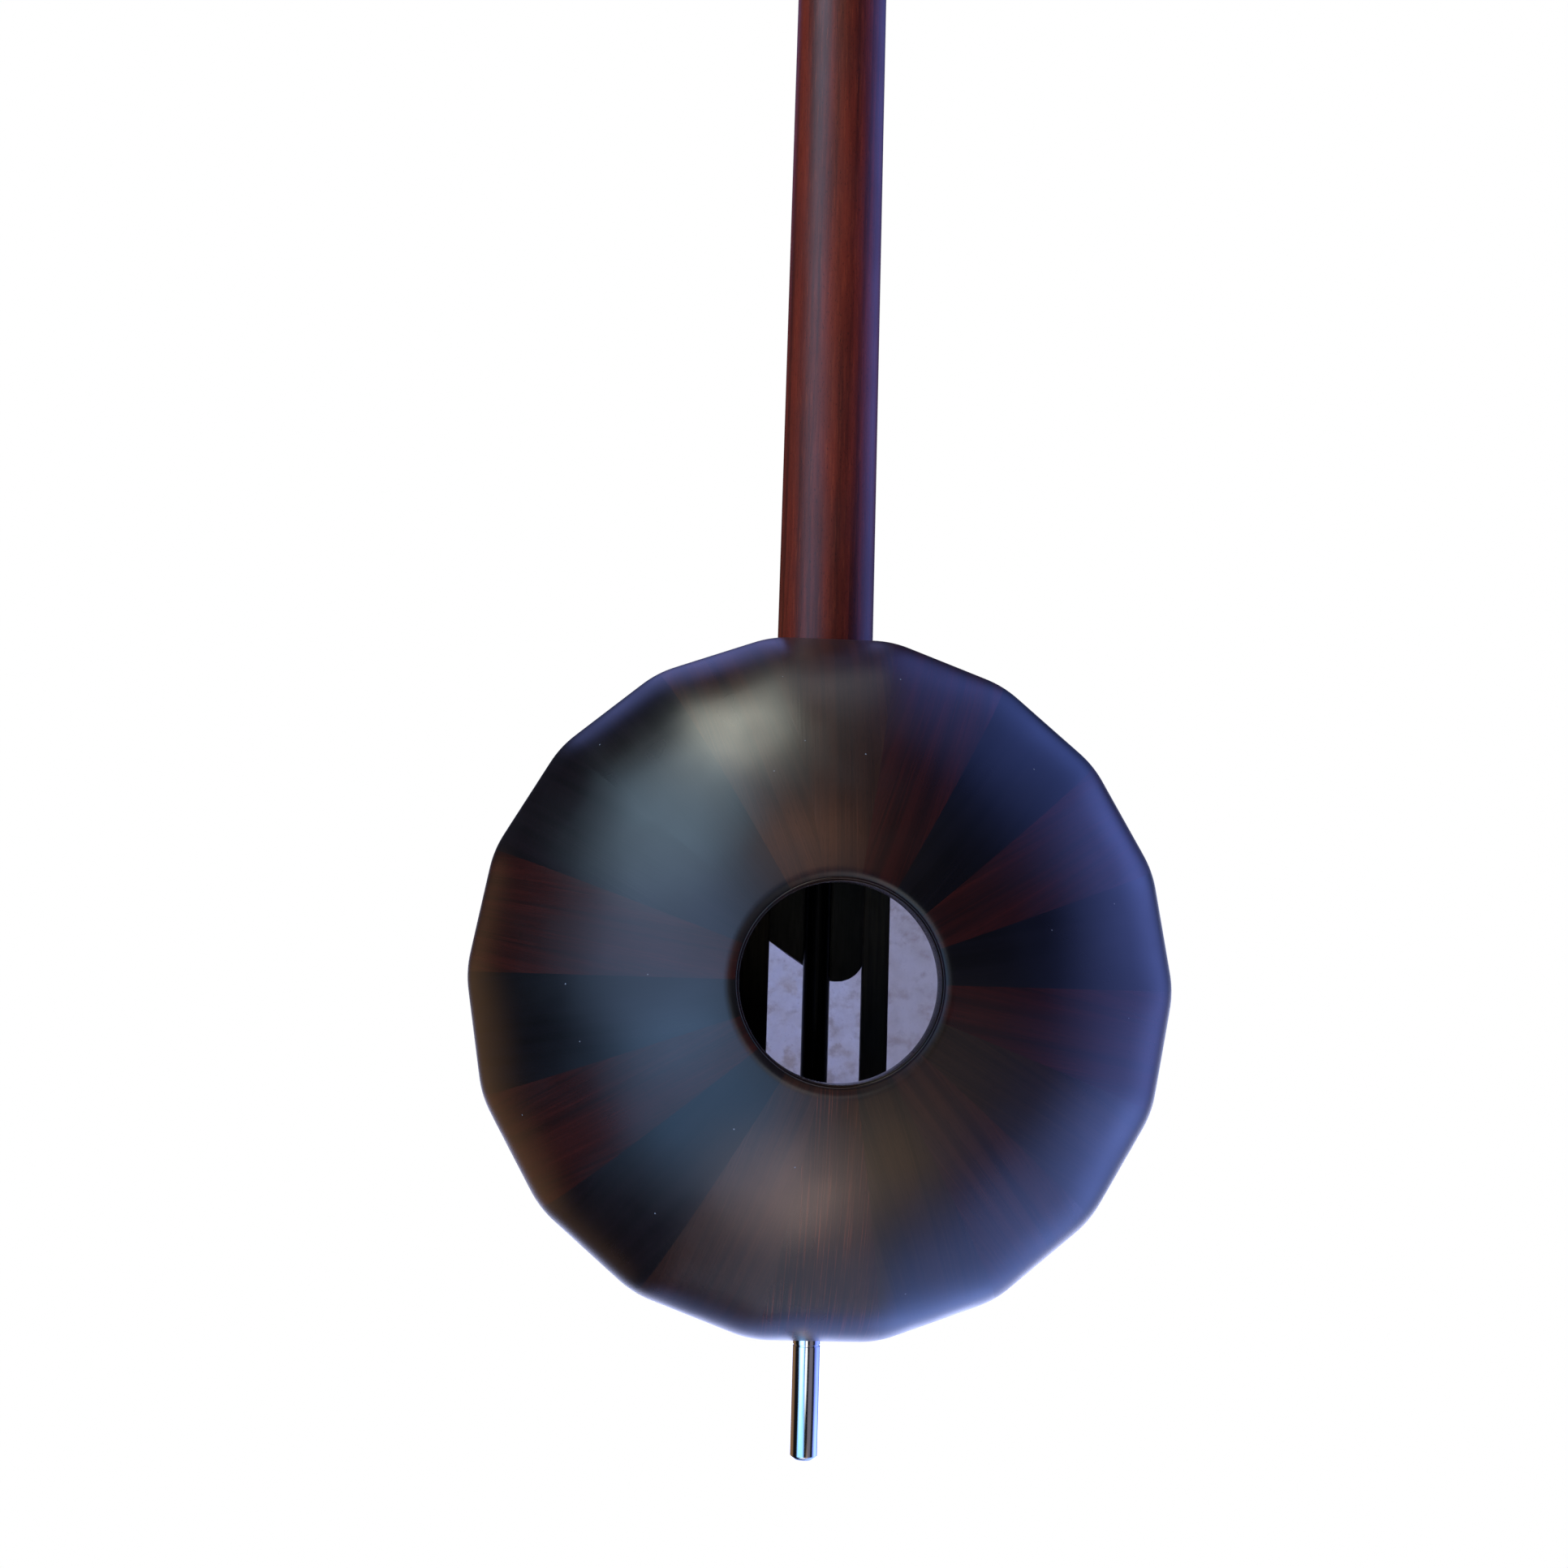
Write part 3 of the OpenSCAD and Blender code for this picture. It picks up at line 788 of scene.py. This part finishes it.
    def build_stave(self, i: int) -> bpy.types.Object:
        """Builds one stave as a closed shell with its own flat pattern.

        Args:
            i: The stave's number.

        Returns:
            The stave.
        """
        half = [0.0, 0.2, 0.4, 0.6, 0.75, 0.84, 0.9, 0.93, 0.96, 0.98, 1.0]
        outer_shares = [-s for s in half[:0:-1]] + half
        inner_shares = [1.0, 0.5, 0.0, -0.5, -1.0]
        verts, flat, loops = [], [], []
        travelled = 0.0
        outer, inner = self.section(0), self.section(self.stave_t)
        shift_u, shift_v = self.pattern_shift
        for step, (outside, inside) in enumerate(zip(outer, inner)):
            if step:
                travelled += math.dist(outer[step - 1], outside)
            loop = []
            sides = ((outside, outer_shares, True), (inside, inner_shares, False))
            for (apothem, depth), shares, is_outer in sides:
                for share in shares:
                    along, across = self.across_stave(apothem, depth, share, is_outer)
                    loop.append(len(verts))
                    verts.append(self.place(i, along, across, depth))
                    u, v = across / FLAT_PATTERN_MM, travelled / FLAT_PATTERN_MM
                    flat.append((u + shift_u * i, v + shift_v * i))
            loops.append(loop)
        faces = []
        for low, high in zip(loops, loops[1:]):
            count = len(low)
            faces += [[low[k], low[(k + 1) % count], high[(k + 1) % count], high[k]] for k in range(count)]
        faces += [loops[0], loops[-1]]
        return link_mesh(self.node(i) + "_shaped", verts, faces, self.finish(i), flat)

    def finish(self, i: int) -> LacqueredWood:
        """Chooses the wood of a stave."""
        tone = self.tones[i]
        base, dark, light = tone.value
        return LacqueredWood(
            name=f"lacquered_{tone.name.lower()}_stave",
            base=base,
            dark=dark,
            light=light,
            lie=Lie.ALONG_STAVE,
            stripes=0.5 if tone is Tone.STRIPED else 0.24,
            dust=True,
        )

    def build_ring(self) -> bpy.types.Object:
        """Turns the ring that lines the hole: a bead, a straight bore and a glued flange."""
        outer_bead, inner_bead = self.outer_bead, self.inner_bead
        top = self.lip_y - self.belly_y - self.dip(0) * self.lip_share
        groove_y = top - self.ring_groove
        curve_r = self.crown_r - self.stave_t - self.glue_gap
        inner_y = self.back_depth - self.crown_r
        under = [
            (r, inner_y + math.sqrt(curve_r**2 - r**2)) for r in np.linspace(self.flange_r, self.ring_r, 8)
        ]
        foot = self.ring_foot_y - self.belly_y
        bevel = self.flange_bevel
        low = [(self.hole_r, foot + bevel), (self.hole_r + bevel, foot), (self.flange_r, foot)]
        lip = arc((self.ring_r - outer_bead, top - outer_bead), outer_bead, 0, 150, 10)
        lip += [(self.hole_r + 2 * inner_bead + self.bead_gap, groove_y)]
        lip += arc((self.hole_r + inner_bead, groove_y + self.bead_gap), inner_bead, 30, 180, 8)
        outline = low + under + lip
        return Turning(
            outline,
            LacqueredWood(
                "lacquered_ring", base="#1c0d0a", dark="#0e0706", light="#3a1a12", lie=Lie.ALONG_Y,
                roughness=0.24, gloss=0.3,
            ),
            origin=Vector((0, self.belly_y, self.axis_z)) * MM,
            turn=Matrix.Rotation(math.radians(-90), 3, "X"),
            segments=160,
            closed=True,
        ).build("back_ring_turned")

    def build(self) -> None:
        """Builds every stave and the ring."""
        for i in range(len(self.tones)):
            stand_for(self.build_stave(i), self.node(i))
        stand_for(self.build_ring(), "back_ring")


# ---------------------------------------------------------------------------
# What is inside the bowl
# ---------------------------------------------------------------------------


def eased(node: str, name: str, finish: Finish, width: float, wider: Point = (0, 0)) -> bpy.types.Object:
    """Copies a CAD node's shape into a new piece and eases its edges.

    Args:
        node: The CAD node.
        name: The new piece's name.
        finish: What it wears.
        width: Width of the eased edges, in millimetres.
        wider: How far its low and high X sides swell, in millimetres.

    Returns:
        The new piece.
    """
    work = bmesh.new()
    work.from_mesh(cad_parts[node].data)
    bmesh.ops.remove_doubles(work, verts=work.verts, dist=WELD_MM * MM)
    bmesh.ops.dissolve_limit(work, angle_limit=math.radians(FLAT_DEG), verts=work.verts, edges=work.edges)
    least = math.radians(EDGE_DEG)
    sharp = [e for e in work.edges if len(e.link_faces) == 2 and e.calc_face_angle(0) > least]
    bmesh.ops.bevel(
        work, geom=sharp, offset=width * MM, segments=3, profile=0.5, affect="EDGES", clamp_overlap=True
    )
    low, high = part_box(node)
    for vert in work.verts:
        share = (vert.co.x - low.x) / (high.x - low.x)
        vert.co.x += (share * wider[1] - (1 - share) * wider[0]) * MM
    mesh = bpy.data.meshes.new(name)
    work.to_mesh(mesh)
    work.free()
    mesh.polygons.foreach_set("use_smooth", [True] * len(mesh.polygons))
    mesh.set_sharp_from_angle(angle=math.radians(CREASE_DEG))
    mesh.materials.append(finish.material())
    piece = bpy.data.objects.new(name, mesh)
    bpy.context.scene.collection.objects.link(piece)
    return piece


@dataclass
class InnerFrame:
    """The braces, blocks and heel inside the bowl, and the skin over its front.

    Its sizes are in millimetres and the skin's turn in degrees. The wider values say how far a piece swells
    past its low and high X sides, to close the hairlines of light there.
    """

    brace_ease: float = 0.5
    heel_ease: float = 0.15
    brace_wider: Point = (0, 0.8)
    heel_wider: Point = (0.45, 0.65)
    skin_rings: int = 24
    skin_sides: int = 18
    skin_steps: int = 4
    skin_turn: float = 10.0
    skin_sag: float = 0.12
    skin_ripple: float = 0.012
    skin_waves: int = 6
    skin_front_gap: float = 0.05
    skin_seed: int = 7

    def build(self) -> None:
        """Builds the braces, heel and skin, and dresses the blocks and hoop."""
        brace = BareWood("bare_dark_brace", base="#4a4032", dark="#332a20", lie=Lie.ALONG_Z)
        heel = BareWood("black_stained_heel", base="#0c0a0a", dark="#060505", lie=Lie.ALONG_Z, roughness=0.6)
        for side, wider in (("left", self.brace_wider), ("right", (0, 0))):
            node = f"brace_{side}"
            stand_for(eased(node, f"{node}_planed", brace, self.brace_ease, wider), node)
        carved = eased("neck_heel", "neck_heel_carved", heel, self.heel_ease, self.heel_wider)
        stand_for(carved, "neck_heel")
        dress(BareWood("bare_block_wood"), "top_block", "bottom_block", "front_hoop")
        self.build_skin()

    def build_skin(self) -> None:
        """Stretches the skin over the rim: a thin sheet with a very slight sag and small ripples."""
        low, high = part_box("skin")
        sides = self.skin_sides
        centre = (low + high) / 2
        radius = (high.x - low.x) / 2
        around = sides * self.skin_steps
        turned = math.radians(self.skin_turn)
        generator = np.random.default_rng(self.skin_seed)
        phases = generator.uniform(0, 2 * math.pi, self.skin_waves)
        verts, faces = [], []
        for front in (True, False):
            for ring in range(self.skin_rings + 1):
                share = ring / self.skin_rings
                for k in range(around if ring else 1):
                    a = 2 * math.pi * k / around + turned
                    local = (a - turned) % (2 * math.pi / sides) - math.pi / sides
                    edge = radius * math.cos(math.pi / sides) / math.cos(local)
                    r = edge * share
                    waves = sum(math.cos((n + 2) * a + p) for n, p in enumerate(phases))
                    ripple = waves * self.skin_ripple * MM
                    sag = self.skin_sag * MM * math.cos(share * math.pi / 2)
                    sag += ripple * share * (1 - share) * 4
                    y = (low.y + sag + self.skin_front_gap * MM) if front else (high.y + sag)
                    if share == 1:
                        y = low.y if front else high.y
                    verts.append(Vector((centre.x + r * math.cos(a), y, centre.z + r * math.sin(a))))
        per_side = 1 + self.skin_rings * around
        for offset in (0, per_side):
            first = offset + 1
            faces += [[offset, first + k, first + (k + 1) % around] for k in range(around)]
            for ring in range(self.skin_rings - 1):
                a0, b0 = first + ring * around, first + (ring + 1) * around
                faces += [
                    [a0 + k, b0 + k, b0 + (k + 1) % around, a0 + (k + 1) % around] for k in range(around)
                ]
        rim_a, rim_b = per_side - around, 2 * per_side - around
        faces += [
            [rim_a + k, rim_a + (k + 1) % around, rim_b + (k + 1) % around, rim_b + k] for k in range(around)
        ]
        skin = link_mesh("skin_stretched", verts, faces, StretchedSkin("stretched_skin"))
        stand_for(skin, "skin")


# ---------------------------------------------------------------------------
# Metalwork, neck and head
# ---------------------------------------------------------------------------


@dataclass
class Metalwork:
    """The through-rod, the spike and the tailpiece.

    Its sizes are in millimetres. The bevel's near and far values are shares of it, where its edges ease.
    """

    bevel: float = 1.1
    joint: float = 3.4
    joint_groove: float = 0.2
    joint_mouth: float = 0.3
    joint_floor: float = 0.15
    thread_r: float = 2.5
    thread_bevel: float = 0.5
    running: float = 0.05
    rod_ease: float = 0.3
    bevel_near: float = 0.02
    bevel_far: float = 0.92

    def build(self) -> None:
        """Turns the rod and the spike, and dresses the tailpiece."""
        # Painted shade: the through-rod is the spike's steel, its colour darkened nearly to black to stand in
        # for the shade inside the bowl.
        shaded_rod_steel = PolishedSteel("rod_steel_painted_shade", colour="#1d1d20", stain="#121214", roughness=0.28)
        bright = PolishedSteel("polished_spike_steel", colour="#d5d8dc", stain="#bfc4ca", roughness=0.09)
        low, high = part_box("spike")
        r = (high.x - low.x) / 2 / MM
        tip, top = low.z / MM, high.z / MM
        rod_low, rod_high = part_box("through_rod")
        socket = top + self.running
        thread_r, cut = self.thread_r, self.thread_bevel
        joint, groove, mouth, floor = self.joint, self.joint_groove, self.joint_mouth, self.joint_floor
        near, far = self.bevel * self.bevel_near, self.bevel * self.bevel_far
        spike = (
            [(0, tip)]
            + [(r - self.bevel, tip)]
            + [(r - far, tip + near), (r - near, tip + far)]
            + [(r, tip + self.bevel), (r, -joint - mouth), (r - groove, -joint - floor)]
            + [(r - groove, -joint + floor), (r, -joint + mouth), (r, 0)]
            + [(thread_r, 0), (thread_r, top - cut), (thread_r - cut, top), (0, top)]
        )
        stand_for(Turning(spike, bright, segments=128).build("spike_turned"), "spike")
        foot, head = rod_low.z / MM, rod_high.z / MM
        ease, bore_r = self.rod_ease, thread_r + self.running
        rod = [
            (0, socket), (bore_r, socket), (bore_r, foot), (r - ease, foot), (r, foot + ease),
            (r, head - ease), (r - ease, head), (0, head),
        ]
        stand_for(Turning(rod, shaded_rod_steel, segments=128).build("through_rod_drawn"), "through_rod")
        plate = PolishedSteel("brushed_tailpiece", colour="#b9bcc0", stain="#9a9da2", roughness=0.28)
        dress(plate, "tailpiece")


@dataclass
class NeckAndHead:
    """The neck, pegbox, crown, nut, bridge, binding and collar; the neck's wood has the coarsest figure."""

    neck_figure_mm: Point = (3.4, 120.0)
    neck_streak_mm: Point = (0.5, 9.0)
    neck_pore_mm: Point = (0.2, 1.2)

    def build(self) -> None:
        """Dresses the turned and cut pieces."""
        neck = LacqueredWood(
            "lacquered_neck", base="#74291a", dark="#4a1911", light="#9a4427", lie=Lie.ALONG_Z,
            figure_mm=self.neck_figure_mm, streak_mm=self.neck_streak_mm, pore_mm=self.neck_pore_mm,
            roughness=0.38, gloss=0.3, stripes=0.2,
        )
        head = LacqueredWood("lacquered_head", base="#43190f", dark="#260e09", light="#6e2c19")
        dark = LacqueredWood(
            "lacquered_dark_trim", base="#241310", dark="#140a08", light="#3c2018", lie=Lie.ALONG_X
        )
        dress(neck, "neck")
        dress(head, "pegbox", "crown")
        dress(dark, "skin_binding", "spike_collar")
        dress(PolishedBone("polished_bone"), "nut")
        dress(BareWood("bare_bridge_wood", base="#b08453", dark="#8a6038", lie=Lie.ALONG_X), "bridge")


@dataclass
class PegsAndStrings:
    """The four pegs with their windings, and the four strings."""

    count: int = 4

    def build(self) -> None:
        """Dresses the pegs, windings and strings."""
        peg = LacqueredWood(
            "polished_peg_wood", base="#1c110e", dark="#0d0807", light="#33201a", lie=Lie.ALONG_X,
            roughness=0.22,
        )
        steel = WoundString("wound_steel_string")
        for i in range(1, self.count + 1):
            dress(peg, f"peg_{i}")
            dress(steel, f"winding_{i}", f"string_{i}")


# ---------------------------------------------------------------------------
# Light, floor and camera
# ---------------------------------------------------------------------------


@dataclass(frozen=True)
class SkyPatch:
    """A soft patch of light in the surroundings: where it stands, its colour and its spread.

    The turn is clockwise from straight up and the lean is away from +Y, both in degrees, as a person
    behind the open back sees them. The light is full within the inner angle and gone past the outer one.
    """

    turn: float
    lean: float
    colour: str
    strength: float
    inner: float
    outer: float

    def towards(self) -> Vector:
        """Gives the direction that the patch stands in."""
        turn, lean = math.radians(self.turn), math.radians(self.lean)
        return Vector((-math.sin(turn) * math.sin(lean), math.cos(lean), math.cos(turn) * math.sin(lean)))


@dataclass
class Studio:
    """Soft surroundings, a pale floor and the camera. Lengths are in metres and angles in degrees."""

    floor_drop: float = 1.5
    floor_size: float = 1.0
    patches: tuple[SkyPatch, ...] = (
        SkyPatch(341, 79.5, "#fafff0", 8.8, 6, 15),
        SkyPatch(1, 96, "#f2f6ff", 1.6, 4, 12),
        SkyPatch(317, 64, "#b6daf4", 5.0, 7, 25),
        SkyPatch(278, 43, "#9cbcee", 3.3, 14, 34),
        SkyPatch(222, 46, "#86bcf4", 2.7, 12, 32),
        SkyPatch(186, 61, "#ffe4e0", 3.6, 8, 19),
        SkyPatch(352, 38, "#ffc09c", 1.6, 6, 17),
        SkyPatch(160, 52, "#ffdcb4", 1.0, 8, 22),
        SkyPatch(46, 106, "#6e88f0", 1.6, 14, 42),
        SkyPatch(92, 106, "#7c90f2", 1.9, 14, 42),
        SkyPatch(138, 106, "#7f9cf4", 2.5, 14, 42),
        SkyPatch(168, 134, "#8ea8f2", 1.3, 8, 26),
        SkyPatch(250, 130, "#c49468", 0.5, 12, 34),
        SkyPatch(345, 138, "#8a98ee", 1.1, 8, 22),
        SkyPatch(150, 168, "#c9d2ff", 3.7, 8, 30),
        SkyPatch(186, 14, "#fffdf6", 1.8, 4, 11),
        SkyPatch(118, 42, "#e8dcf0", 0.25, 8, 22),
    )
    ground: str = "#15161a"
    floor_colour: str = "#f4f4f4"
    floor_roughness: float = 0.9
    sensor_mm: float = 36.0
    lens_mm: float = 38.2
    near_clip: float = 0.01
    camera_x: float = 0.0343
    camera_y: float = 0.4941
    camera_rise: float = 0.0005
    pitch_up: float = 6.67
    roll: float = -1.67
    heading: float = 177.13

    def build(self) -> None:
        """Builds the surroundings, the floor and the camera."""
        self.build_world()
        self.build_floor()
        self.build_camera()
        bpy.context.scene.view_settings.view_transform = "Standard"

    def build_world(self) -> None:
        """Lights the object from soft patches round it, before a white background."""
        world = bpy.data.worlds.new("soft_studio")
        bpy.context.scene.world = world
        world.use_nodes = True
        tree = world.node_tree
        tree.nodes.clear()
        direction = add_node(tree, "ShaderNodeTexCoord").outputs["Generated"]
        light = None
        for patch in self.patches:
            facing = add_node(
                tree, "ShaderNodeVectorMath", {"operation": "DOT_PRODUCT", 1: patch.towards()}, {0: direction}
            ).outputs["Value"]
            amount = add_node(
                tree,
                "ShaderNodeMapRange",
                {
                    "interpolation_type": "SMOOTHSTEP",
                    1: math.cos(math.radians(patch.outer)),
                    2: math.cos(math.radians(patch.inner)),
                    4: patch.strength,
                },
                {0: facing},
            ).outputs[0]
            hue = linear(patch.colour)[:3]
            tint = add_node(
                tree, "ShaderNodeVectorMath", {"operation": "SCALE", 0: hue}, {"Scale": amount}
            ).outputs[0]
            if light is None:
                light = tint
            else:
                light = add_node(
                    tree, "ShaderNodeVectorMath", {"operation": "ADD"}, {0: light, 1: tint}
                ).outputs[0]
        light = add_node(
            tree, "ShaderNodeVectorMath", {"operation": "ADD", 1: linear(self.ground)[:3]}, {0: light}
        ).outputs[0]
        lit = add_node(tree, "ShaderNodeBackground", {"Strength": 1.0}, {"Color": light})
        white = add_node(tree, "ShaderNodeBackground", {"Color": (1, 1, 1, 1), "Strength": 1.0})
        camera_ray = add_node(tree, "ShaderNodeLightPath").outputs["Is Camera Ray"]
        mixed = add_node(
            tree, "ShaderNodeMixShader", links={0: camera_ray, 1: lit.outputs[0], 2: white.outputs[0]}
        )
        add_node(tree, "ShaderNodeOutputWorld", links={"Surface": mixed.outputs[0]})

    def build_floor(self) -> None:
        """Lays a pale matt floor under the spike."""
        low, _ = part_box("spike")
        z = low.z - self.floor_drop
        half = self.floor_size / 2
        mesh = bpy.data.meshes.new("floor")
        corners = [(-half, -half, z), (half, -half, z), (half, half, z), (-half, half, z)]
        mesh.from_pydata(corners, [], [[0, 1, 2, 3]])
        floor = bpy.data.objects.new("floor", mesh)
        bpy.context.scene.collection.objects.link(floor)
        material = bpy.data.materials.new("pale_floor")
        material.use_nodes = True
        shader = material.node_tree.nodes["Principled BSDF"]
        shader.inputs["Base Color"].default_value = linear(self.floor_colour)
        shader.inputs["Roughness"].default_value = self.floor_roughness
        mesh.materials.append(material)

    def build_camera(self) -> None:
        """Stands the camera behind the bowl, a little to the left and level with the sound hole."""
        data = bpy.data.cameras.new("camera")
        data.sensor_width = self.sensor_mm
        data.lens = self.lens_mm
        data.clip_start = self.near_clip
        camera = bpy.data.objects.new("camera", data)
        bowl_z = sum(v.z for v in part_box("back_ring")) / 2
        camera.location = (self.camera_x, self.camera_y, bowl_z + self.camera_rise)
        angles = (90 + self.pitch_up, self.roll, self.heading)
        camera.rotation_euler = Euler([math.radians(v) for v in angles], "XYZ")
        bpy.context.scene.collection.objects.link(camera)
        bpy.context.scene.camera = camera


def main() -> None:
    """Builds the object's looks and the studio round it."""
    logging.basicConfig(level=logging.INFO, format="%(message)s")
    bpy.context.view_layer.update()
    for part in (StaveBowl(), InnerFrame(), Metalwork(), NeckAndHead(), PegsAndStrings(), Studio()):
        part.build()
        LOG.info("%s is built", type(part).__name__)


if __name__ == "__main__":
    main()
